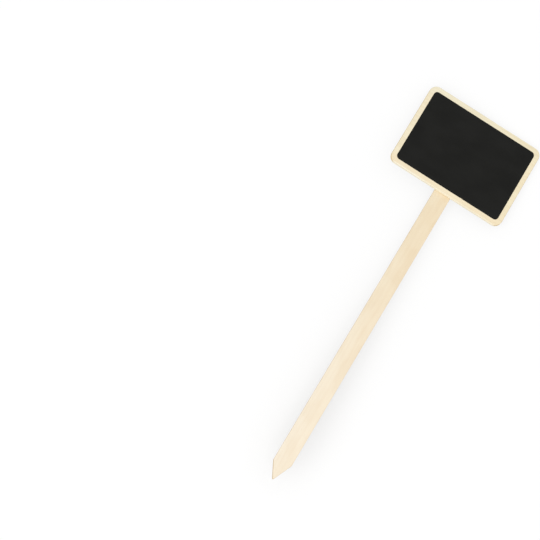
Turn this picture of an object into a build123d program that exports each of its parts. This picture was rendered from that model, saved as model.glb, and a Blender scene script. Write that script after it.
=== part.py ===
from build123d import *
import os

# Plant label stake, in millimetres.
# A small wooden board with a black writing panel is glued to a flat pointed stick.
# Z is up along the stick and X runs across the board. The black face looks towards -Y.
# The origin is the end of the stick's point, in the middle of the stick's thickness.

# Board
board_width = 100.0
board_height = 73.0
board_thickness = 3.0
board_corner_radius = 6.2
board_edge_ease = 0.35

# Black chalkboard coat on the front of the board
border_width = 4.1
coat_thickness = 0.12
coat_corner_radius = 3.2

# Stick
stick_width = 14.0
stick_thickness = 3.0
stick_edge_ease = 0.3
stick_below_board = 259.0
stick_end_to_board_top = 11.0

# Point of the stick
point_length = 14.2
point_blunt_width = 0.9

# Glue between the stick and the back of the board
glue_thickness = 0.15
glue_side_inset = 0.9
glue_end_inset = 1.6
glue_corner_radius = 1.5

# Places along Y, from the back of the stick forwards
stick_front = -stick_thickness / 2
board_back = stick_front - glue_thickness
board_front = board_back - board_thickness

# Places along Z, from the point upwards
board_bottom = stick_below_board
board_top = board_bottom + board_height
board_middle = (board_bottom + board_top) / 2
stick_top = board_top - stick_end_to_board_top


def plate(face, front, thickness):
    """Stands a face drawn in X and Z on its front plane and thickens it backwards."""
    standing = Plane(origin=(0, front, 0), x_dir=(1, 0, 0), z_dir=(0, -1, 0)) * face
    return extrude(standing, amount=thickness, dir=(0, 1, 0))


def ease_rims(solid, radius):
    """Rounds the edges all round the front face and the back face of a plate."""
    faces = solid.faces().sort_by(Axis.Y)
    return fillet([*faces[0].edges(), *faces[-1].edges()], radius)


def make_board():
    """Thin wooden board with rounded corners and lightly sanded edges."""
    outline = Pos(0, board_middle) * RectangleRounded(board_width, board_height, board_corner_radius)
    blank = plate(outline, board_front, board_thickness)
    return ease_rims(blank, board_edge_ease)


def make_chalk_coat():
    """Film of black chalkboard paint that leaves a border of bare wood all round."""
    coat_width = board_width - 2 * border_width
    coat_height = board_height - 2 * border_width
    outline = Pos(0, board_middle) * RectangleRounded(coat_width, coat_height, coat_corner_radius)
    return plate(outline, board_front - coat_thickness, coat_thickness)


def make_stick():
    """Flat stick whose lower end is cut on both sides to a point."""
    half = stick_width / 2
    blunt = point_blunt_width / 2
    outline = make_face(
        Polyline(
            (blunt, 0),
            (half, point_length),
            (half, stick_top),
            (-half, stick_top),
            (-half, point_length),
            (-blunt, 0),
            close=True,
        )
    )
    blank = plate(outline, stick_front, stick_thickness)
    return ease_rims(blank, stick_edge_ease)


def make_glue_film():
    """Film of wood glue pressed flat between the stick and the back of the board."""
    film_width = stick_width - 2 * glue_side_inset
    film_bottom = board_bottom + glue_end_inset
    film_top = stick_top - glue_end_inset
    film_middle = (film_bottom + film_top) / 2
    film_height = film_top - film_bottom
    outline = Pos(0, film_middle) * RectangleRounded(film_width, film_height, glue_corner_radius)
    return plate(outline, board_back, glue_thickness)


nodes = {
    "board": make_board(),
    "chalk_coat": make_chalk_coat(),
    "stick": make_stick(),
    "glue_film": make_glue_film(),
}

os.makedirs("parts", exist_ok=True)
for name, shape in nodes.items():
    export_step(shape, f"parts/{name}.step")
    size = shape.bounding_box().size
    print(f"{name}: {size.X:.2f} x {size.Y:.2f} x {size.Z:.2f} mm, {shape.volume:.1f} mm3")
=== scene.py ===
# %% [markdown]
# # A plant label stake
#
# A plant label stake is a small wooden board on a flat pointed stick. The stick goes into the soil of a
# pot, and the plant's name is written on the black panel with chalk. The real one is four things made one
# after another: a sawn board, a coat of black paint, a pointed stick and the glue that joins the two.
#
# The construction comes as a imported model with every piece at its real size. It is loaded here as a fixed
# frame in metres, with Z up along the stick and the black face towards -Y. The sizes of the pieces could be
# typed in again, but a size that is read from the frame can't drift away from it, so they are read.

# %% Load the frame
import math
import random

import bmesh
import bpy
from mathutils import Matrix, Vector, noise


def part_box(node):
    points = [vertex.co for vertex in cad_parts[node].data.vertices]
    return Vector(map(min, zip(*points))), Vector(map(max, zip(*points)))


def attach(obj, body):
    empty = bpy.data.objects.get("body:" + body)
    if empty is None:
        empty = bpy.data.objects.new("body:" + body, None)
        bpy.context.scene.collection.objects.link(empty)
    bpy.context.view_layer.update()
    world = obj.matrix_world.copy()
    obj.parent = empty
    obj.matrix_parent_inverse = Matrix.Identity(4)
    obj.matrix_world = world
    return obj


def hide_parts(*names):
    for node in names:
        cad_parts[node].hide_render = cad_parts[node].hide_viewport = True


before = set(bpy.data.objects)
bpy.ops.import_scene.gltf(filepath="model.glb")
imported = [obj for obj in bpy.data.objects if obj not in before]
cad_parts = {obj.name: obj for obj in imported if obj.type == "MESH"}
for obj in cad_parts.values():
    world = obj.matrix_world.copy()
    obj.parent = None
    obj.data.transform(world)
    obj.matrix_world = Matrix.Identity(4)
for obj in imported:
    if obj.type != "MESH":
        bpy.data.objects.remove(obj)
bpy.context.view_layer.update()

# %% Read the sizes of the four pieces
MM = 0.001

board_low, board_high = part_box("board")
coat_low, coat_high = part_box("chalk_coat")
stick_low, stick_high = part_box("stick")
glue_low, glue_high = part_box("glue_film")
board_middle = (board_low + board_high) / 2
board_width = board_high.x - board_low.x
board_height = board_high.z - board_low.z
stick_width = stick_high.x - stick_low.x
print(f"board {board_width / MM:.1f} x {board_height / MM:.1f} mm, stick {stick_width / MM:.1f} mm wide")

# %% [markdown]
# ## One way to build every plate
#
# The board, the paint and the stick are all plates: an outline with a thickness and softened edges. A
# scaled cube with a bevel would give the shape, but its edges would be perfectly even, and a cube has no
# points along its sides to carry the small wander of a real cut.
#
# So each plate starts as an outline of many points. A closed ring of points is then set at each step of
# the plate's section, from the middle of the front, over the edge and round to the middle of the back.
# Faces between the rings make one closed skin, and nearly all of them have four sides. First come the
# outline's corners.

# %% Round the corner of an outline
ARC_TURN = math.radians(7)


def corner_arc(before, corner, after, radius):
    """Points along the arc that rounds one corner of an outline."""
    back = (before - corner).normalized()
    on = (after - corner).normalized()
    half = back.angle(on) / 2
    turn = math.pi - 2 * half
    centre = corner + (back + on).normalized() * (radius / math.sin(half))
    start = corner + back * (radius / math.tan(half)) - centre
    end = corner + on * (radius / math.tan(half)) - centre
    count = max(2, math.ceil(turn / ARC_TURN))
    points = []
    for i in range(count + 1):
        part = i / count
        spoke = start * math.sin((1 - part) * turn) + end * math.sin(part * turn)
        points.append(centre + spoke / math.sin(turn))
    return points


square_corner = corner_arc(Vector((0.0, 1.0)), Vector((0.0, 0.0)), Vector((1.0, 0.0)), 0.1)
print("points round a square corner:", len(square_corner))


# %% Join the corners into a closed outline
def between(start, end, step):
    """Evenly spaced points from start to end, without the two ends."""
    count = max(1, round((end - start).length / step))
    return [start.lerp(end, i / count) for i in range(1, count)]


def rounded_outline(corners, step):
    """A closed outline, anticlockwise seen from the front. Each corner is (x, z, radius)."""
    places = [Vector((x, z)) for x, z, radius in corners]
    points = []
    for i, (x, z, radius) in enumerate(corners):
        arc = corner_arc(places[i - 1], places[i], places[(i + 1) % len(places)], radius)
        if points:
            points += between(points[-1], arc[0], step)
        points += arc
    return points + between(points[-1], points[0], step)


small_square = [(0, 0, 1), (10, 0, 1), (10, 10, 1), (0, 10, 1)]
print("points round a square of side 10, at steps of 1:", len(rounded_outline(small_square, 1)))


# %% Find the way out at each point
def outward_directions(points):
    """The direction that points away from the outline at each of its points."""
    directions = []
    for i in range(len(points)):
        along = points[(i + 1) % len(points)] - points[i - 1]
        directions.append(Vector((along.y, -along.x)).normalized())
    return directions


square_ways = outward_directions(rounded_outline(small_square, 1))
print("way out at the first point of the square:", [round(part, 2) for part in square_ways[0]])

# %% [markdown]
# Next come the rings. Each one is the outline, drawn in by as much as the section says at that step, and
# the rings of a wide face are drawn in all the way to a line down its middle, the spine.


# %% Wrap an outline in rings
def wrap_rings(points, section, spine, wear):
    """Rings that follow a plate's section, from the middle of its front to the middle of its back.

    Each step of the section is (y, inset, share). Share 0 is the outline, and share 1 is the spine that
    the ring folds onto. Wear is the depth lost at each point.
    """
    directions = outward_directions(points)
    rings = []
    for y, inset, share in section:
        ring = []
        for point, direction, lost in zip(points, directions, wear):
            edge = point - direction * (inset + lost)
            place = edge.lerp(spine(point), share)
            ring.append(Vector((place.x, y, place.y)))
        rings.append(ring)
    return rings


# %% Skin the rings
WELD = 0.0005 * MM


def skin(name, rings):
    """One closed mesh object through rings of points. The first and last rings are folded flat."""
    form = bmesh.new()
    rows = [[form.verts.new(place) for place in ring] for ring in rings]
    for upper, lower in zip(rows, rows[1:]):
        for i in range(len(upper)):
            form.faces.new((upper[i - 1], upper[i], lower[i], lower[i - 1]))
    bmesh.ops.remove_doubles(form, verts=form.verts, dist=WELD)
    bmesh.ops.recalc_face_normals(form, faces=form.faces)
    for face in form.faces:
        face.smooth = True
    open_edges = sum(not edge.is_manifold for edge in form.edges)
    volume = form.calc_volume() / MM**3
    mesh = bpy.data.meshes.new(name)
    form.to_mesh(mesh)
    form.free()
    piece = bpy.data.objects.new(name, mesh)
    bpy.context.scene.collection.objects.link(piece)
    print(f"{name}: {len(mesh.polygons)} faces, {open_edges} open edges, {volume:.1f} mm3")
    return piece


# %% [markdown]
# ## The section of a sanded plate
#
# Thin pale wood is cut to shape and then tumbled or sanded, so each edge has a small even round of about a
# third of a millimetre. A bevel modifier could make it, but the rings can follow the round themselves: a
# few steps along a quarter circle at the front, the straight side, and a quarter circle at the back. One
# more ring just inside the round keeps the wide face looking flat when it is shaded smooth.

# %% Follow the section of a sanded plate
ROUND_STEPS = 4
SIDE_ROWS = 4
FACE_SHARES = (1.0, 0.7, 0.4, 0.15)
FLAT_MARGIN = 0.08 * MM


def sanded_section(front, back, ease):
    """Steps (y, inset, share) over a plate with rounded edges."""
    face = [(0.0, ease + FLAT_MARGIN, share) for share in (*FACE_SHARES, 0.0)]
    edge = []
    for i in range(ROUND_STEPS + 1):
        angle = math.pi / 2 * i / ROUND_STEPS
        edge.append((ease * (1 - math.cos(angle)), ease * (1 - math.sin(angle)), 0.0))
    near = face + edge
    straight = back - front - 2 * ease
    side = [(ease + straight * i / SIDE_ROWS, 0.0, 0.0) for i in range(1, SIDE_ROWS)]
    far = [(back - front - y, inset, share) for y, inset, share in reversed(near)]
    return [(front + y, inset, share) for y, inset, share in near + side + far]


print("steps in a section:", len(sanded_section(0.0, 3 * MM, 0.3 * MM)))

# %% [markdown]
# ## Wear along a cut edge
#
# No cut in soft wood is quite straight. The blade wanders by a few hundredths of a millimetre, and a few
# fibres are crushed or lost where pieces knocked together in their box. Both are too small to notice one
# by one, but an edge without them looks like plastic. Noise along the outline gives the wander, and a few
# shallow dents at places picked by a seeded draw give the knocks, so each run makes the same board.
# Wear only takes wood away, so a worn piece never grows out of its size.

# %% Work out the wear of an outline
WANDER_LENGTH = 9 * MM
FRAY_LENGTH = 1.3 * MM
SHALLOWEST_DENT_SHARE = 0.3
SEED_SPACING = 31 * MM


def edge_wear(points, wander, fray, dents, dent_depth, dent_reach, seed):
    """How much is lost at each point of an outline, in metres."""
    draw = random.Random(seed)
    knocks = [points[draw.randrange(len(points))] for i in range(dents)]
    depths = [dent_depth * draw.uniform(SHALLOWEST_DENT_SHARE, 1.0) for i in range(dents)]
    wear = []
    for point in points:
        place = Vector((point.x, point.y, seed * SEED_SPACING))
        slow = 0.5 + 0.5 * noise.noise(place / WANDER_LENGTH)
        quick = 0.5 + 0.5 * noise.noise(place / FRAY_LENGTH)
        lost = wander * slow + fray * quick
        for knock, depth in zip(knocks, depths):
            lost += depth * math.exp(-(((point - knock).length / dent_reach) ** 2))
        wear.append(lost)
    return wear


# %% [markdown]
# ## Colours and shader helpers
#
# A colour picked on a screen isn't the number that a shader works with, because a screen's values are
# bent to suit the eye. One small function straightens them. A second adds a node and fills its sockets, so
# that the materials below read as a list of what is mixed with what. The rest are built on it: sums, soft
# steps, mixed colours, noise, and places measured in millimetres.


# %% Turn a screen colour into a shader colour
def screen_colour(red, green, blue):
    """A colour on the 0 to 255 scale of a screen, as the linear colour of a shader."""
    linear = []
    for value in (red, green, blue):
        share = value / 255
        linear.append(share / 12.92 if share <= 0.04045 else ((share + 0.055) / 1.055) ** 2.4)
    return (*linear, 1.0)


print("mid grey on a screen is", round(screen_colour(128, 128, 128)[0], 3), "in a shader")


# %% Add nodes to a shader
def put(tree, kind, inputs, **settings):
    """Adds a node. Each input is a plain value or the output socket that feeds it."""
    node = tree.nodes.new(kind)
    for name, value in settings.items():
        setattr(node, name, value)
    for name, value in inputs.items():
        if isinstance(value, bpy.types.NodeSocket):
            tree.links.new(value, node.inputs[name])
        else:
            node.inputs[name].default_value = value
    return node


def sums(tree, operation, first, second=0.0):
    """The result of one sum on two values."""
    return put(tree, "ShaderNodeMath", {0: first, 1: second}, operation=operation).outputs[0]


def vector_sum(tree, operation, first, second):
    """The result of one sum on two vectors."""
    return put(tree, "ShaderNodeVectorMath", {0: first, 1: second}, operation=operation).outputs[0]


def weighted_sum(tree, parts):
    """The sum of values, each times its own weight."""
    total = 0.0
    for value, weight in parts:
        total = sums(tree, "ADD", total, sums(tree, "MULTIPLY", value, weight))
    return total


# %% Blend values and colours
def ramp(tree, value, start, end, low=0.0, high=1.0):
    """Low before start, high after end, and a soft step between them."""
    inputs = {"Value": value, "From Min": start, "From Max": end, "To Min": low, "To Max": high}
    return put(tree, "ShaderNodeMapRange", inputs, interpolation_type="SMOOTHSTEP").outputs[0]


def tint(tree, share, first, second, blend="MIX"):
    """Mixes two colours."""
    inputs = {0: share, 6: first, 7: second}
    return put(tree, "ShaderNodeMix", inputs, data_type="RGBA", blend_type=blend).outputs[2]


def cloud(tree, place, stretch, detail=2.0, roughness=0.5):
    """Noise from 0 to 1 at a place, with its own number of lumps per millimetre along each axis."""
    scaled = vector_sum(tree, "MULTIPLY", place, stretch)
    inputs = {"Vector": scaled, "Scale": 1.0, "Detail": detail, "Roughness": roughness}
    return put(tree, "ShaderNodeTexNoise", inputs).outputs[0]


def cells(tree, place, stretch):
    """Distance to the nearest of many scattered points, for spots drawn out along the grain."""
    scaled = vector_sum(tree, "MULTIPLY", place, stretch)
    return put(tree, "ShaderNodeTexVoronoi", {"Vector": scaled, "Scale": 1.0}).outputs[0]


# %% Start a material
def new_material(name):
    """An empty material, with its node tree and its output node."""
    material = bpy.data.materials.new(name)
    material.use_nodes = True
    material.node_tree.nodes.clear()
    output = material.node_tree.nodes.new("ShaderNodeOutputMaterial")
    return material, material.node_tree, output


# %% Measure in millimetres and raise a surface
TO_MILLIMETRES = (1 / MM, 1 / MM, 1 / MM)


def millimetres(tree, turn=(0.0, 0.0, 0.0)):
    """The place on the object in millimetres, turned about the object's axes."""
    texture = tree.nodes.new("ShaderNodeTexCoord")
    inputs = {"Vector": texture.outputs["Object"], "Rotation": turn, "Scale": TO_MILLIMETRES}
    return put(tree, "ShaderNodeMapping", inputs).outputs[0]


def bumped(tree, height, depth):
    """A normal that follows a height, with its full depth in metres."""
    return put(tree, "ShaderNodeBump", {"Height": height, "Strength": 1.0, "Distance": depth}).outputs[0]


# %% [markdown]
# ## Pale wood, as one group for both pieces
#
# The board and the stick are the same kind of pale, close wood, so they share one node group. A picture of
# wood wrapped round a plate never meets itself at the edges: the lines on the face don't run on over the
# side. A solid texture does, because it is worked out in space, as if the piece had been cut from a log.
#
# The group takes a place in millimetres whose X runs along the grain. The yearly rings are shells round
# the log's pith, bent a little on the way up. Fibres are noise drawn out some seventy times along the
# grain, so they turn into fine dots by themselves where the wood is cut across. Short brown flecks and
# slow warm patches come on top. All of it is added up as one amount of stain, which tints the plain colour.

# %% Begin the wood group with its sockets
WOOD_INPUTS = (
    ("Place", "NodeSocketVector"),
    ("Facing", "NodeSocketVector"),
    ("Pith", "NodeSocketVector"),
    ("Ring Width", "NodeSocketFloat"),
    ("Ring Stain", "NodeSocketFloat"),
    ("Fibre Stain", "NodeSocketFloat"),
    ("Fleck Stain", "NodeSocketFloat"),
    ("Patch Stain", "NodeSocketFloat"),
    ("Side Stain And Shade", "NodeSocketFloat"),
    ("Wood Colour", "NodeSocketColor"),
)
WOOD_OUTPUTS = (
    ("Color", "NodeSocketColor"),
    ("Roughness", "NodeSocketFloat"),
    ("Height", "NodeSocketFloat"),
)


def new_group(name, inputs, outputs):
    """An empty shader group with named sockets, and its inner ends."""
    group = bpy.data.node_groups.new(name, "ShaderNodeTree")
    for socket, kind in inputs:
        group.interface.new_socket(name=socket, in_out="INPUT", socket_type=kind)
    for socket, kind in outputs:
        group.interface.new_socket(name=socket, in_out="OUTPUT", socket_type=kind)
    start = group.nodes.new("NodeGroupInput")
    end = group.nodes.new("NodeGroupOutput")
    return group, start.outputs, end.inputs


wood_group, wood_in, wood_out = new_group("pale wood", WOOD_INPUTS, WOOD_OUTPUTS)
print("wood group sockets:", [name for name, kind in WOOD_INPUTS])

# %% [markdown]
# The rings come first. A ring is soft on its early side, where the wood grew fast in spring, and ends in a
# thin firm line. So the distance from the pith is cut into steps of one ring each, and within each step
# the stain climbs slowly and drops at once.

# %% Grow the yearly rings
BEND = 2.6
BEND_STRETCH = (0.014, 0.05, 0.05)
MIDDLE_GREY = (0.5, 0.5, 0.5)
ACROSS_GRAIN = (0.0, 1.0, 1.0)
RING_DRIFT = 1.1
RING_DRIFT_STRETCH = (0.004, 0.16, 0.16)
SPRING_END = 0.15
AUTUMN_END = 0.93


def bent_by_growth(tree, place):
    """The place, moved across the grain as the trunk bent while it grew."""
    wave_place = vector_sum(tree, "MULTIPLY", place, BEND_STRETCH)
    wave = put(tree, "ShaderNodeTexNoise", {"Vector": wave_place, "Scale": 1.0, "Detail": 1.0}).outputs[1]
    centred = vector_sum(tree, "SUBTRACT", wave, MIDDLE_GREY)
    shift = vector_sum(tree, "MULTIPLY", centred, (0.0, 2 * BEND, 2 * BEND))
    return vector_sum(tree, "ADD", place, shift)


def yearly_rings(tree, place, bent, pith, ring_width):
    """Late wood of the yearly rings, from 0 to 1."""
    from_pith = vector_sum(tree, "SUBTRACT", bent, pith)
    across = vector_sum(tree, "MULTIPLY", from_pith, ACROSS_GRAIN)
    distance = put(tree, "ShaderNodeVectorMath", {0: across}, operation="LENGTH").outputs[1]
    drift = sums(tree, "MULTIPLY", cloud(tree, place, RING_DRIFT_STRETCH), RING_DRIFT)
    years = sums(tree, "ADD", sums(tree, "DIVIDE", distance, ring_width), drift)
    season = sums(tree, "FRACT", years)
    climb = ramp(tree, season, SPRING_END, AUTUMN_END)
    drop = ramp(tree, season, AUTUMN_END, 1.0, low=1.0, high=0.0)
    return sums(tree, "MULTIPLY", climb, drop)


bent_place = bent_by_growth(wood_group, wood_in["Place"])
late_wood = yearly_rings(wood_group, wood_in["Place"], bent_place, wood_in["Pith"], wood_in["Ring Width"])
print("nodes that grow the rings:", len(wood_group.nodes))

# %% Draw out the fibres and the pores
STREAK_STRETCH = (0.06, 0.45, 0.45)
FIBRE_STRETCH = (0.035, 2.6, 2.6)
HAIR_STRETCH = (0.16, 11.0, 11.0)
PORE_STRETCH = (0.55, 6.5, 6.5)
PORE_EDGE = (0.12, 0.3)

streaks = cloud(wood_group, bent_place, STREAK_STRETCH)
fibres = cloud(wood_group, bent_place, FIBRE_STRETCH, detail=3.0, roughness=0.6)
hairs = cloud(wood_group, bent_place, HAIR_STRETCH)
pores = ramp(wood_group, cells(wood_group, bent_place, PORE_STRETCH), *PORE_EDGE, low=1.0, high=0.0)
print(f"a pore is about {1 / PORE_STRETCH[0]:.1f} mm long and {1 / PORE_STRETCH[1]:.2f} mm wide")

# %% Scatter short flecks and slow warm patches
FLECK_STRETCH = (0.2, 1.5, 1.5)
FLECK_FIELD_STRETCH = (0.03, 0.12, 0.12)
PATCH_STRETCH = (0.055, 0.13, 0.13)
FLECK_EDGE = (0.06, 0.2)
FLECK_FIELD_EDGE = (0.52, 0.66)
PATCH_EDGE = (0.38, 0.68)

flecks = ramp(wood_group, cells(wood_group, bent_place, FLECK_STRETCH), *FLECK_EDGE, low=1.0, high=0.0)
fleck_field = ramp(wood_group, cloud(wood_group, wood_in["Place"], FLECK_FIELD_STRETCH), *FLECK_FIELD_EDGE)
flecks = sums(wood_group, "MULTIPLY", flecks, fleck_field)
patches = ramp(wood_group, cloud(wood_group, wood_in["Place"], PATCH_STRETCH, detail=1.0), *PATCH_EDGE)
print(f"a warm patch is about {1 / PATCH_STRETCH[0]:.0f} mm long and {1 / PATCH_STRETCH[1]:.0f} mm wide")

# %% [markdown]
# Wood that is cut across drinks in light, because the open ends of its fibres point outwards, so the ends
# of the board and the tip of the stick are darker than the faces. That darkening is set stronger than end
# grain alone, so it is also painted shadow in a dark line along the cuts at the point. The direction that
# the surface faces tells the cut ends from the rest. The sides that run along the grain have fine marks of
# the blade across them. How much darker such a side is comes in as an input of the group: on the stick it
# is partly the sawn wood's tone and partly painted shade, so that its long sides read as in shade. A cut
# face is also greyer than the streaks of the grain, so the cuts get a colour of their own.

# %% Darken the cut ends and the sides, partly as painted shade, and mark the sawn sides
# End darkening: end grain, and painted shadow along the cuts at the point.
END_STAIN_AND_SHADOW = 0.7
SAW_STAIN = 0.12
SAW_STRETCH = (3.2, 0.12, 3.2)
END_FACING = (0.1, 0.5)
SIDE_FACING = (0.25, 0.7)
SAW_EDGE = (0.45, 0.75)

facing = put(wood_group, "ShaderNodeSeparateXYZ", {0: wood_in["Facing"]}).outputs
end_cut = ramp(wood_group, sums(wood_group, "ABSOLUTE", facing["X"]), *END_FACING)
side_cut = ramp(wood_group, sums(wood_group, "ABSOLUTE", facing["Y"]), *SIDE_FACING, low=1.0, high=0.0)
saw_marks = ramp(wood_group, cloud(wood_group, wood_in["Place"], SAW_STRETCH, detail=1.0), *SAW_EDGE)
saw_marks = sums(wood_group, "MULTIPLY", saw_marks, side_cut)
print(f"the blade leaves a mark about every {1 / SAW_STRETCH[0]:.1f} mm")

# %% Add the stains up and colour the wood
GRAIN_TINT = (0.76, 0.61, 0.43, 1.0)
CUT_TINT = (0.76, 0.67, 0.52, 1.0)
STREAK_SHARE = 0.5
PORE_SHARE = 0.5

grain_stains = (
    (late_wood, wood_in["Ring Stain"]),
    (streaks, sums(wood_group, "MULTIPLY", wood_in["Fibre Stain"], STREAK_SHARE)),
    (fibres, wood_in["Fibre Stain"]),
    (pores, sums(wood_group, "MULTIPLY", wood_in["Fibre Stain"], PORE_SHARE)),
    (flecks, wood_in["Fleck Stain"]),
    (patches, wood_in["Patch Stain"]),
)
cut_stains_and_shade = ((end_cut, END_STAIN_AND_SHADOW), (side_cut, wood_in["Side Stain And Shade"]), (saw_marks, SAW_STAIN))
stain = weighted_sum(wood_group, grain_stains)
cut_stain_and_shade = weighted_sum(wood_group, cut_stains_and_shade)
grained = tint(wood_group, stain, wood_in["Wood Colour"], GRAIN_TINT, "MULTIPLY")
wood_colour = tint(wood_group, cut_stain_and_shade, grained, CUT_TINT, "MULTIPLY")
wood_group.links.new(wood_colour, wood_out["Color"])
print(f"stains of the grain: {len(grain_stains)}, of the cuts: {len(cut_stains_and_shade)}")

# %% Give the wood its sheen and its relief
SANDED_ROUGHNESS = 0.56
ROUGHER = ((hairs, 0.16), (late_wood, -0.05), (end_cut, 0.15))
HIGHER = ((fibres, 0.5), (hairs, 0.45), (late_wood, 0.3), (pores, -0.55), (saw_marks, -0.9))

wood_roughness = sums(wood_group, "ADD", weighted_sum(wood_group, ROUGHER), SANDED_ROUGHNESS)
wood_group.links.new(wood_roughness, wood_out["Roughness"])
wood_group.links.new(weighted_sum(wood_group, HIGHER), wood_out["Height"])
print("wood group nodes:", len(wood_group.nodes))

# %% [markdown]
# ## The two wood materials
#
# The board's grain runs across it, and the stick's grain runs along it, or the stick would snap. Both
# materials take the object's own coordinates, turn them so that X lies along the grain, and scale them to
# millimetres. Each has its own pith, as the two were cut from different parts of the tree.
#
# The plain colour under the stain isn't the same all over either. The stick gets darker and yellower from
# its point to the board, partly the wood's own tone and partly painted shade for light that is weaker
# towards the board, and a little yellower from its left side to its right. The board is palest on its lower
# edge, and its face is warmest just above that edge, a touch greener towards the top and a little yellower
# to the right. So each material has a few drifts: along an axis, from one place to another, the colour
# takes on a faint tint.

# %% Make a wood material
GRAIN_DEPTH = 0.035 * MM
WOOD_SHINE = 0.35


def wood_material(name, turn, pith, stains, ring_width, colour, drifts):
    """Bare pale wood, with its grain along the axis that the turn lays on X.

    Each drift is (axis, start, end, tint colour).
    """
    material, tree, output = new_material(name)
    texture = tree.nodes.new("ShaderNodeTexCoord")
    inputs = {"Vector": texture.outputs["Normal"], "Rotation": turn}
    facing_grain = put(tree, "ShaderNodeMapping", inputs, vector_type="VECTOR").outputs[0]
    axes = put(tree, "ShaderNodeSeparateXYZ", {0: texture.outputs["Object"]}).outputs
    for axis, start, end, tint_colour in drifts:
        colour = tint(tree, ramp(tree, axes[axis], start, end), colour, tint_colour, "MULTIPLY")
    inputs = {"Place": millimetres(tree, turn), "Facing": facing_grain, "Pith": pith}
    inputs.update({"Ring Width": ring_width, "Wood Colour": colour, **stains})
    wood = put(tree, "ShaderNodeGroup", inputs, node_tree=wood_group).outputs
    normal = bumped(tree, wood["Height"], GRAIN_DEPTH)
    inputs = {"Base Color": wood["Color"], "Roughness": wood["Roughness"], "Normal": normal}
    inputs["Specular IOR Level"] = WOOD_SHINE
    shader = put(tree, "ShaderNodeBsdfPrincipled", inputs)
    tree.links.new(shader.outputs[0], output.inputs["Surface"])
    print(f"{name}: {len(tree.nodes)} nodes, {len(drifts)} drifts")
    return material


# %% Mix the board's wood
ALONG_X = (0.0, 0.0, 0.0)
RIM_REACH = 14 * MM
PALE_FROM = 0.1 * MM
PALE_TO = 1.3 * MM

board_wood = wood_material(
    "board wood",
    turn=ALONG_X,
    pith=(0.0, 24.0, 274.0),
    stains={
        "Ring Stain": 0.12,
        "Fibre Stain": 0.18,
        "Fleck Stain": 0.25,
        "Patch Stain": 0.08,
        "Side Stain And Shade": 0.0,
    },
    ring_width=2.6,
    colour=screen_colour(254, 249, 229),
    drifts=(
        ("Z", board_low.z + PALE_FROM, board_low.z + PALE_TO, (0.974, 0.919, 0.840, 1.0)),
        ("Z", board_low.z, board_low.z + RIM_REACH, (0.965, 0.99, 1.0, 1.0)),
        ("Z", board_high.z - RIM_REACH, board_high.z, (0.97, 0.99, 1.0, 1.0)),
        ("X", board_low.x, board_high.x, (1.0, 0.98, 0.94, 1.0)),
    ),
)

# %% Mix the stick's wood
ALONG_Z = (0.0, math.pi / 2, 0.0)

stick_wood = wood_material(
    "stick wood",
    turn=ALONG_Z,
    pith=(0.0, 17.0, 31.0),
    stains={
        "Ring Stain": 0.05,
        "Fibre Stain": 0.21,
        "Fleck Stain": 0.25,
        "Patch Stain": 0.10,
        # The stick's sides: partly sawn-wood tone, partly painted shade on its long sides.
        "Side Stain And Shade": 0.75,
    },
    ring_width=3.1,
    colour=screen_colour(255, 246, 228),
    drifts=(
        # Darker and yellower towards the board: partly wood tone, partly painted shade.
        ("Z", stick_low.z, board_low.z, (0.92, 0.88, 0.79, 1.0)),
        ("X", stick_low.x, stick_high.x, (1.0, 0.98, 0.95, 1.0)),
    ),
)

# %% [markdown]
# ## The board
#
# The board is a thin plate with rounded corners. Its spine lies along X, so the rings on its front and its
# back fold onto a line in the middle, and the whole board is one closed skin.


# %% Place a piece in the frame
def finish_piece(piece, material, node):
    """Gives a piece its material and its place on the body, and hides the CAD node that it stands for."""
    piece.data.materials.append(material)
    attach(piece, "root")
    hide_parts(node)
    print(f"{piece.name} stands for {node}")


# %% Cut the board
BOARD_CORNER = 6.2 * MM
BOARD_EASE = 0.35 * MM
BOARD_STEP = 0.9 * MM


def rectangle_corners(low, high, radius):
    """The corners of an upright rectangle, each with its radius."""
    return [
        (low.x, low.z, radius),
        (high.x, low.z, radius),
        (high.x, high.z, radius),
        (low.x, high.z, radius),
    ]


def board_spine(point):
    """The nearest point on the line along the middle of the board."""
    reach = (board_width - board_height) / 2
    return Vector((max(-reach, min(reach, point.x)), board_middle.z))


board_outline = rounded_outline(rectangle_corners(board_low, board_high, BOARD_CORNER), BOARD_STEP)
board_wear = edge_wear(
    board_outline,
    wander=0.05 * MM,
    fray=0.02 * MM,
    dents=7,
    dent_depth=0.12 * MM,
    dent_reach=0.9 * MM,
    seed=3,
)
board_section = sanded_section(board_low.y, board_high.y, BOARD_EASE)
board_piece = skin("board_plate", wrap_rings(board_outline, board_section, board_spine, board_wear))
finish_piece(board_piece, board_wood, "board")

# %% [markdown]
# ## The stick
#
# The stick is the same kind of plate on a longer outline: a blunt tip, two slanted cuts, two long sides
# and a square top hidden behind the board. The real cuts meet the sides at a crisp shoulder that sanding
# has only just taken the bite off, so those corners get a small radius. Each cut is a stroke of its own,
# and no two start at quite the same height, so the left one is shorter here. The spine runs along Z. As the
# cuts differ, the points of the two sides don't lie opposite each other, so the spine has knots, about
# twice as far apart as the points. Both sides fold onto every knot, and the skin closes without a gap.

# %% Draw the stick and its point
LEFT_CUT_LENGTH = 12.8 * MM
RIGHT_CUT_LENGTH = 15.2 * MM
TIP_WIDTH = 0.9 * MM
TIP_RADIUS = 0.6 * MM
SHOULDER_RADIUS = 2.0 * MM
STICK_TOP_RADIUS = 0.6 * MM
STICK_STEP = 1.4 * MM

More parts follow.
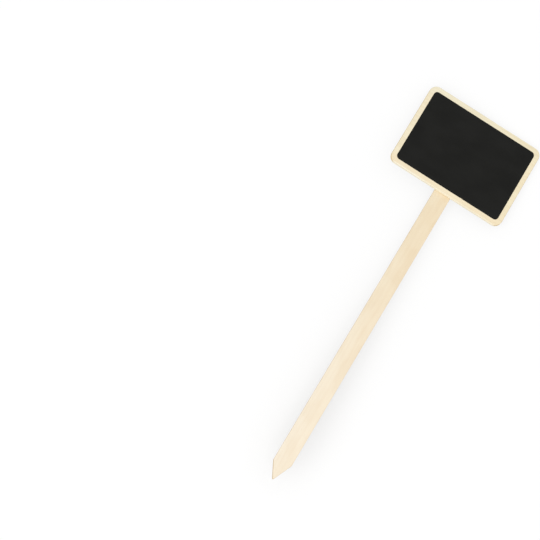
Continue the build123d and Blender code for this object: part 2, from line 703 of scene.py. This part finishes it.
stick_outline = rounded_outline(
    [
        (-TIP_WIDTH / 2, stick_low.z, TIP_RADIUS),
        (TIP_WIDTH / 2, stick_low.z, TIP_RADIUS),
        (stick_high.x, stick_low.z + RIGHT_CUT_LENGTH, SHOULDER_RADIUS),
        (stick_high.x, stick_high.z, STICK_TOP_RADIUS),
        (stick_low.x, stick_high.z, STICK_TOP_RADIUS),
        (stick_low.x, stick_low.z + LEFT_CUT_LENGTH, SHOULDER_RADIUS),
    ],
    STICK_STEP,
)
print("points round the stick:", len(stick_outline))

# %% Cut the stick
STICK_EASE = 0.3 * MM
SPINE_FROM_TIP = 3 * MM
SPINE_STEP = 3 * MM


def stick_spine(point):
    """The nearest knot on the line along the middle of the stick."""
    lowest = stick_low.z + SPINE_FROM_TIP
    highest = stick_high.z - stick_width / 2
    knot = round((max(lowest, min(highest, point.y)) - lowest) / SPINE_STEP)
    return Vector((0.0, lowest + knot * SPINE_STEP))


stick_wear = edge_wear(
    stick_outline,
    wander=0.06 * MM,
    fray=0.02 * MM,
    dents=6,
    dent_depth=0.1 * MM,
    dent_reach=0.9 * MM,
    seed=5,
)
stick_section = sanded_section(stick_low.y, stick_high.y, STICK_EASE)
stick_piece = skin("stick_blade", wrap_rings(stick_outline, stick_section, stick_spine, stick_wear))
finish_piece(stick_piece, stick_wood, "stick")

# %% [markdown]
# ## The black panel
#
# The panel is chalkboard paint printed on the wood, about a tenth of a millimetre thick. It could be a
# black area in the board's material, but a coat of paint has a body: it stands up from the wood, and its
# rim is soft. So it is a thin skin of its own, sunk a hair into the board so that no two faces lie in the
# same place. Wet paint creeps along the fibres, so its edge wanders in two sizes, and there is one small
# nick in the lower edge, right of the middle, where the paint missed the wood.

# %% Print the panel's outline
COAT_CORNER = 3.2 * MM
COAT_STEP = 0.3 * MM
BLEED = 0.035 * MM
BLEED_LENGTH = 2.4 * MM
CREEP = 0.03 * MM
CREEP_LENGTH = 0.5 * MM
NICK_PLACE = Vector((13.6 * MM, coat_low.z))
NICK_DEPTH = 0.35 * MM
NICK_REACH = 0.35 * MM


def paint_edge(point):
    """How far the paint stops short of its outline at a point. Below zero it has crept past it."""
    place = Vector((point.x, 0.0, point.y))
    short = BLEED * noise.noise(place / BLEED_LENGTH) + CREEP * noise.noise(place / CREEP_LENGTH)
    away = (point - NICK_PLACE).length / NICK_REACH
    return short + NICK_DEPTH * math.exp(-(away**2))


coat_outline = rounded_outline(rectangle_corners(coat_low, coat_high, COAT_CORNER), COAT_STEP)
coat_edge = [paint_edge(point) for point in coat_outline]
print(f"paint edge from {min(coat_edge) / MM:.2f} to {max(coat_edge) / MM:.2f} mm short")

# %% Build the coat over its soft rim
COAT_SUNK = 0.03 * MM
COAT_RIM = 0.22 * MM
RIM_SLOPE = ((0.12, 0.5), (0.42, 0.15), (1.0, 0.0))

coat_thickness = coat_high.y - coat_low.y
coat_section = (
    [(coat_low.y, COAT_RIM, share) for share in (*FACE_SHARES, 0.0)]
    + [(coat_low.y + depth * coat_thickness, inwards * COAT_RIM, 0.0) for depth, inwards in RIM_SLOPE]
    + [(coat_high.y + COAT_SUNK, 0.0, 0.0)]
    + [(coat_high.y + COAT_SUNK, COAT_RIM, share) for share in (0.0, 1.0)]
)
coat_piece = skin("black_panel", wrap_rings(coat_outline, coat_section, board_spine, coat_edge))

# %% [markdown]
# Chalkboard paint is one of the darkest and dullest things in a room. It holds fine mineral grit that
# chalk can bite on, so up close it is a dense stipple, and from a step away it is a flat charcoal with
# faint clouds where the coat is thicker. The clouds go to the colour, the stipple goes to the bump, and
# the reflection is turned down, because grit scatters what a smooth paint would mirror.

# %% Mix the chalkboard paint
STIPPLE_STRETCH = (3.4, 3.4, 3.4)
GRIT_STRETCH = (9.0, 9.0, 9.0)
CLOUD_STRETCH = (0.045, 0.045, 0.07)
CLOUD_EDGE = (0.3, 0.7)
GRIT_EDGE = (0.35, 0.75)
THICK_PAINT = (0.0084, 0.0084, 0.0074, 1.0)
THIN_PAINT = (0.0122, 0.0122, 0.0110, 1.0)
GRIT_COLOUR = (0.0160, 0.0160, 0.0147, 1.0)
GRIT_SHARE = 0.35
STIPPLE_RANGE = (0.2, 0.8)
PAINT_ROUGHNESS = (0.78, 0.92)
PAINT_SHINE = 0.13
STIPPLE_DEPTH = 0.02 * MM


def chalkboard_paint():
    """Matte charcoal paint with a fine stipple."""
    material, tree, output = new_material("chalkboard paint")
    place = millimetres(tree)
    stipple = cloud(tree, place, STIPPLE_STRETCH)
    grit = cloud(tree, place, GRIT_STRETCH, detail=1.0)
    clouds = ramp(tree, cloud(tree, place, CLOUD_STRETCH, detail=3.0), *CLOUD_EDGE)
    speckle = sums(tree, "MULTIPLY", ramp(tree, grit, *GRIT_EDGE), GRIT_SHARE)
    colour = tint(tree, speckle, tint(tree, clouds, THICK_PAINT, THIN_PAINT), GRIT_COLOUR)
    inputs = {"Base Color": colour, "Roughness": ramp(tree, stipple, *STIPPLE_RANGE, *PAINT_ROUGHNESS)}
    height = weighted_sum(tree, ((stipple, 0.7), (grit, 0.3)))
    inputs["Normal"] = bumped(tree, height, STIPPLE_DEPTH)
    inputs["Specular IOR Level"] = PAINT_SHINE
    shader = put(tree, "ShaderNodeBsdfPrincipled", inputs)
    tree.links.new(shader.outputs[0], output.inputs["Surface"])
    print(f"chalkboard paint: {len(tree.nodes)} nodes")
    return material


finish_piece(coat_piece, chalkboard_paint(), "chalk_coat")

# %% [markdown]
# ## The glue
#
# The stick is pressed onto a line of wood glue, which leaves a thin film between the two pieces, and beads
# where it was pushed out along the stick's edges. Someone who turns the stake over sees only the beads. A
# thin block would do for the film alone. Here the same skin covers both: the outline follows the stick's
# edge, and noise says how far the glue came out at each place. Where it came out, the section swells into
# a bead that climbs the stick's side, and where it didn't, the glue ends out of sight under the stick. The
# noise is read as if the two sides lay three times as far apart, so that they don't swell alike.

# %% Press the glue out along the stick
GLUE_CORNER = 1.5 * MM
GLUE_STEP = 0.35 * MM
SQUEEZE = 1.3 * MM
SQUEEZE_SHORT = 0.32 * MM
SQUEEZE_LENGTH = 7.5 * MM
BEAD_LIMIT = 1.1 * MM
HELD_BACK = 0.9 * MM
GLUE_LOWEST = board_low.z + 1.6 * MM
GLUE_FADE = 5 * MM
SQUEEZE_MIDDLE = 0.2 * MM
RIPPLE_LENGTH = SQUEEZE_LENGTH / 4
RIPPLE_SHARE = 0.35
SIDES_APART = 3
NOISE_DEPTH = 5.0 * MM


def squeezed_out(point):
    """How far the glue stands out past the stick's edge at a point, or less than zero where it is hidden."""
    place = Vector((point.x * SIDES_APART, NOISE_DEPTH, point.y))
    lumpy = noise.noise(place / SQUEEZE_LENGTH) + RIPPLE_SHARE * noise.noise(place / RIPPLE_LENGTH)
    out = SQUEEZE * lumpy + SQUEEZE_MIDDLE
    fade = min(1.0, max(0.0, (point.y - GLUE_LOWEST) / GLUE_FADE))
    return max(-HELD_BACK, min(BEAD_LIMIT, out * fade - SQUEEZE_SHORT * (1 - fade)))


glue_outline = rounded_outline(
    [
        (stick_low.x, GLUE_LOWEST, GLUE_CORNER),
        (stick_high.x, GLUE_LOWEST, GLUE_CORNER),
        (stick_high.x, stick_high.z, STICK_TOP_RADIUS),
        (stick_low.x, stick_high.z, STICK_TOP_RADIUS),
    ],
    GLUE_STEP,
)
glue_out = [squeezed_out(point) for point in glue_outline]
showing = sum(out > 0 for out in glue_out) / len(glue_out)
print(f"glue shows along {showing:.0%} of the edge, {max(glue_out) / MM:.2f} mm at most")

# %% Model the film and its beads
FILM_SUNK = 0.02 * MM
BEAD_CLIMB = 0.9
BEAD_SECTION = ((1.0, 0.0), (0.93, 0.3), (0.72, 0.62), (0.4, 0.86), (0.0, 1.0))


def glue_rings():
    """Rings from the middle of the film on the board, over the bead and back under the stick."""
    directions = outward_directions(glue_outline)
    on_board = glue_low.y - FILM_SUNK
    under_stick = glue_high.y + FILM_SUNK
    rings = [[] for i in range(len(BEAD_SECTION) + 3)]
    for point, direction, out in zip(glue_outline, directions, glue_out):
        middle = max(GLUE_LOWEST + stick_width / 2, min(glue_high.z - stick_width / 2, point.y))
        bead = max(0.0, out)
        rim = point + direction * out
        climb = glue_high.y - glue_low.y + bead * BEAD_CLIMB
        rings[0].append(Vector((0.0, on_board, middle)))
        rings[1].append(Vector((rim.x, on_board, rim.y)))
        for ring, (outwards, upwards) in zip(rings[2:], BEAD_SECTION):
            place = point + direction * (bead * outwards + min(0.0, out))
            ring.append(Vector((place.x, glue_low.y + climb * upwards, place.y)))
        rings[-1].append(Vector((0.0, under_stick, middle)))
    return rings


glue_piece = skin("glue_line", glue_rings())

# %% [markdown]
# Wood glue dries to a smooth, slightly clear yellow. A clear shader would cost time and show nothing more
# on beads this small, so the glue is a plain glossy surface with lumps about a millimetre wide. The lumps
# are paler and duller than the glue between them.

# %% Mix the dried glue
LUMP_STRETCH = (0.9, 0.9, 0.9)
LUMP_DEPTH = 0.08 * MM
LUMP_EDGE = (0.35, 0.65)
LUMP_RANGE = (0.3, 0.7)
GLUE_ROUGHNESS = (0.28, 0.45)
YELLOW_GLUE = (0.72, 0.54, 0.25, 1.0)
PALE_GLUE = (0.82, 0.70, 0.43, 1.0)


def dried_glue():
    """Yellow dried wood glue with paler lumps."""
    material, tree, output = new_material("dried wood glue")
    lumps = cloud(tree, millimetres(tree), LUMP_STRETCH, detail=3.0)
    colour = tint(tree, ramp(tree, lumps, *LUMP_EDGE), YELLOW_GLUE, PALE_GLUE)
    inputs = {"Base Color": colour, "Roughness": ramp(tree, lumps, *LUMP_RANGE, *GLUE_ROUGHNESS)}
    inputs["Normal"] = bumped(tree, lumps, LUMP_DEPTH)
    shader = put(tree, "ShaderNodeBsdfPrincipled", inputs)
    tree.links.new(shader.outputs[0], output.inputs["Surface"])
    print(f"dried wood glue: {len(tree.nodes)} nodes")
    return material


finish_piece(glue_piece, dried_glue(), "glue_film")

# %% [markdown]
# ## The camera
#
# The stake is looked at almost straight on, through a long lens, from a little to the left and from well
# below the board, and the camera is rolled so that the stick slants down to the left. It could be aimed
# with a constraint, but a roll is easier to say as a turn of the picture's own right and up directions.

# %% Set up the camera
LENS = 135.0
CAMERA_AZIMUTH = math.radians(-2.0)
CAMERA_ELEVATION = math.radians(-17.4)
CAMERA_ROLL = math.radians(31.73)
CAMERA_AIM = Vector((-82.02 * MM, 0.0, 134.0 * MM))
CAMERA_DISTANCE = 1515.4 * MM

backwards = Vector(
    (
        math.sin(CAMERA_AZIMUTH) * math.cos(CAMERA_ELEVATION),
        -math.cos(CAMERA_AZIMUTH) * math.cos(CAMERA_ELEVATION),
        math.sin(CAMERA_ELEVATION),
    )
)
level_right = Vector((0.0, 0.0, 1.0)).cross(backwards).normalized()
level_up = backwards.cross(level_right)
picture_right = level_right * math.cos(CAMERA_ROLL) + level_up * math.sin(CAMERA_ROLL)
picture_up = level_up * math.cos(CAMERA_ROLL) - level_right * math.sin(CAMERA_ROLL)

camera = bpy.data.objects.new("camera", bpy.data.cameras.new("camera"))
camera.data.lens = LENS
camera.matrix_world = Matrix((picture_right, picture_up, backwards)).transposed().to_4x4()
camera.location = CAMERA_AIM + backwards * CAMERA_DISTANCE
bpy.context.scene.collection.objects.link(camera)
bpy.context.scene.camera = camera
print("camera at", [round(value, 3) for value in camera.location])

# %% [markdown]
# ## The white surface
#
# The stake lies on its back over a white surface: the upper right corner of the board almost touches it,
# and the point is held clear of it, so the shadow is tight at the board and wide at the point. A large
# plane behind the stake stands for it.
#
# The stake is also looked at from behind, and a solid plane would be in the way and keep the light off its
# back. So the plane shows only to rays from the camera, and from reflections, that reach its front. Light
# on its way to the stake passes through the plane, and so the stake is lit as well from behind.

# %% Lay the white surface behind the stake
SURFACE_REACH = 2.0
CORNER_GAP = 0.5 * MM
SIDE_SLOPE = 0.078
LENGTH_SLOPE = 0.078


def surface_depth(x, z):
    """Where the white surface lies along Y behind a point of the stake."""
    return board_high.y + CORNER_GAP + (board_high.x - x) * SIDE_SLOPE + (board_high.z - z) * LENGTH_SLOPE


def white_surface():
    """A large four-sided face, turned towards the front of the stake."""
    form = bmesh.new()
    ends = ((-1, -1), (1, -1), (1, 1), (-1, 1))
    places = [(SURFACE_REACH * x, SURFACE_REACH * z) for x, z in ends]
    form.faces.new([form.verts.new((x, surface_depth(x, z), z)) for x, z in places])
    mesh = bpy.data.meshes.new("white_surface")
    form.to_mesh(mesh)
    form.free()
    surface = bpy.data.objects.new("white_surface", mesh)
    bpy.context.scene.collection.objects.link(surface)
    return surface


surface = white_surface()
print("surface faces", [round(value, 2) for value in surface.data.polygons[0].normal])
print(f"gap behind the stick's point: {(surface_depth(0, 0) - stick_high.y) / MM:.1f} mm")

# %% [markdown]
# A white table under soft light from all round shows only faint shadows, because every wall of the room
# fills them in. Painted as a plain white surface, it would show them too dark for a picture this bright. So
# a share of its white is its own, and the rest is what the light gives it. The share is large under the
# board, where the stake lies close and its shadow would be hard, and smaller towards the point.
#
# One thing would still spoil the shadows: the back of the stake is lit through the clear plane, and would
# glow onto the surface from close above it. A ray that leaves the surface, meets the back of the stake and
# comes to the surface again has been turned twice, so its ray depth is 2 or more. To such a ray the plane
# is grey and lets nothing through, as a table is under a thing that lies near it.

# %% Paint the surface white for the camera only
OWN_WHITE_AT_POINT = 0.35
OWN_WHITE_AT_BOARD = 0.8
SECOND_HAND = 1.5
UNDERSIDE_GREY = (0.3, 0.3, 0.3, 1.0)
WHITE = (1.0, 1.0, 1.0, 1.0)


def seen_share(tree):
    """1 for a ray from the camera, or from a reflection or a clear material, and 0 for any other."""
    rays = tree.nodes.new("ShaderNodeLightPath").outputs
    direct = sums(tree, "MAXIMUM", rays["Is Camera Ray"], rays["Is Glossy Ray"])
    return sums(tree, "MAXIMUM", direct, rays["Is Transmission Ray"])


def surface_paint():
    """White for the camera from the front, grey for rays turned twice or more, and clear otherwise."""
    material, tree, output = new_material("white surface")
    behind = tree.nodes.new("ShaderNodeNewGeometry").outputs["Backfacing"]
    front = sums(tree, "SUBTRACT", 1.0, behind)
    share = sums(tree, "MULTIPLY", seen_share(tree), front)
    clear = tree.nodes.new("ShaderNodeBsdfTransparent").outputs[0]
    lit = put(tree, "ShaderNodeBsdfDiffuse", {"Color": WHITE}).outputs[0]
    own = put(tree, "ShaderNodeEmission", {"Color": WHITE, "Strength": 1.0}).outputs[0]
    place = tree.nodes.new("ShaderNodeTexCoord").outputs["Object"]
    height = put(tree, "ShaderNodeSeparateXYZ", {0: place}).outputs["Z"]
    own_share = ramp(tree, height, stick_low.z, board_low.z, OWN_WHITE_AT_POINT, OWN_WHITE_AT_BOARD)
    white = put(tree, "ShaderNodeMixShader", {0: own_share, 1: lit, 2: own}).outputs[0]
    shown = put(tree, "ShaderNodeMixShader", {0: share, 1: clear, 2: white}).outputs[0]
    depth = tree.nodes.new("ShaderNodeLightPath").outputs["Ray Depth"]
    second_hand = sums(tree, "GREATER_THAN", depth, SECOND_HAND)
    shaded = put(tree, "ShaderNodeBsdfDiffuse", {"Color": UNDERSIDE_GREY}).outputs[0]
    mixed = put(tree, "ShaderNodeMixShader", {0: second_hand, 1: shown, 2: shaded}).outputs[0]
    tree.links.new(mixed, output.inputs["Surface"])
    return material


surface.data.materials.append(surface_paint())
print(f"own share of white: {OWN_WHITE_AT_POINT} at the point, {OWN_WHITE_AT_BOARD} at the board")

# %% [markdown]
# ## The light
#
# The light is a bright even room with one broad soft lamp over the stake. The lamp stands well towards the
# point, as the lower side of the board is nearly as bright as its face, and a little to the left, as the
# stick's shadow lies more on its right.
#
# The room is the world at a plain strength. The lamp could be a large area light, but that would be brighter
# at the near end of the stake than at the far one, so it is a sun with a very wide disc. Together they put
# about 1.0 on the front, so a colour renders about as it is written, and the sides get less, so the edges
# read. A second sun from behind does the same for the back. The camera sees the world as white.

# %% Light the stake with two soft lamps
LAMP_DISC = math.radians(60)
FRONT_LAMP_SHARE = 0.26
FRONT_LAMP_DROP = 0.8
FRONT_LAMP_LEFT = 0.25
BACK_LAMP_SHARE = 0.24
BACK_LAMP_RISE = 0.45

front = Vector((0.0, -1.0, 0.0))
above = Vector((0.0, 0.0, 1.0))
left = Vector((-1.0, 0.0, 0.0))


def sun(name, direction, face, share):
    """A wide sun in a direction that adds its share of light to a face."""
    lamp = bpy.data.lights.new(name, "SUN")
    lamp.energy = share * math.pi / direction.normalized().dot(face)
    lamp.angle = LAMP_DISC
    holder = bpy.data.objects.new(name, lamp)
    holder.rotation_euler = direction.to_track_quat("Z", "Y").to_euler()
    bpy.context.scene.collection.objects.link(holder)
    print(f"{name}: strength {lamp.energy:.2f}")


sun("front_lamp", front - FRONT_LAMP_DROP * above + FRONT_LAMP_LEFT * left, front, FRONT_LAMP_SHARE)
sun("back_lamp", BACK_LAMP_RISE * above - front, -front, BACK_LAMP_SHARE)

# %% Fill the room with light and show it as white
ROOM_LIGHT = 0.75

world = bpy.data.worlds.new("bright room")
bpy.context.scene.world = world
world.use_nodes = True
world.node_tree.nodes.clear()
light_room = put(world.node_tree, "ShaderNodeBackground", {"Strength": ROOM_LIGHT, "Color": WHITE})
white_room = put(world.node_tree, "ShaderNodeBackground", {"Strength": 1.0, "Color": WHITE})
room = put(
    world.node_tree,
    "ShaderNodeMixShader",
    {0: seen_share(world.node_tree), 1: light_room.outputs[0], 2: white_room.outputs[0]},
)
room_output = world.node_tree.nodes.new("ShaderNodeOutputWorld")
world.node_tree.links.new(room.outputs[0], room_output.inputs["Surface"])
bpy.context.scene.view_settings.view_transform = "Standard"
front_light = ROOM_LIGHT + FRONT_LAMP_SHARE
back_light = ROOM_LIGHT + BACK_LAMP_SHARE
print(f"light on the front: {front_light:.2f}, on the back: {back_light:.2f}")
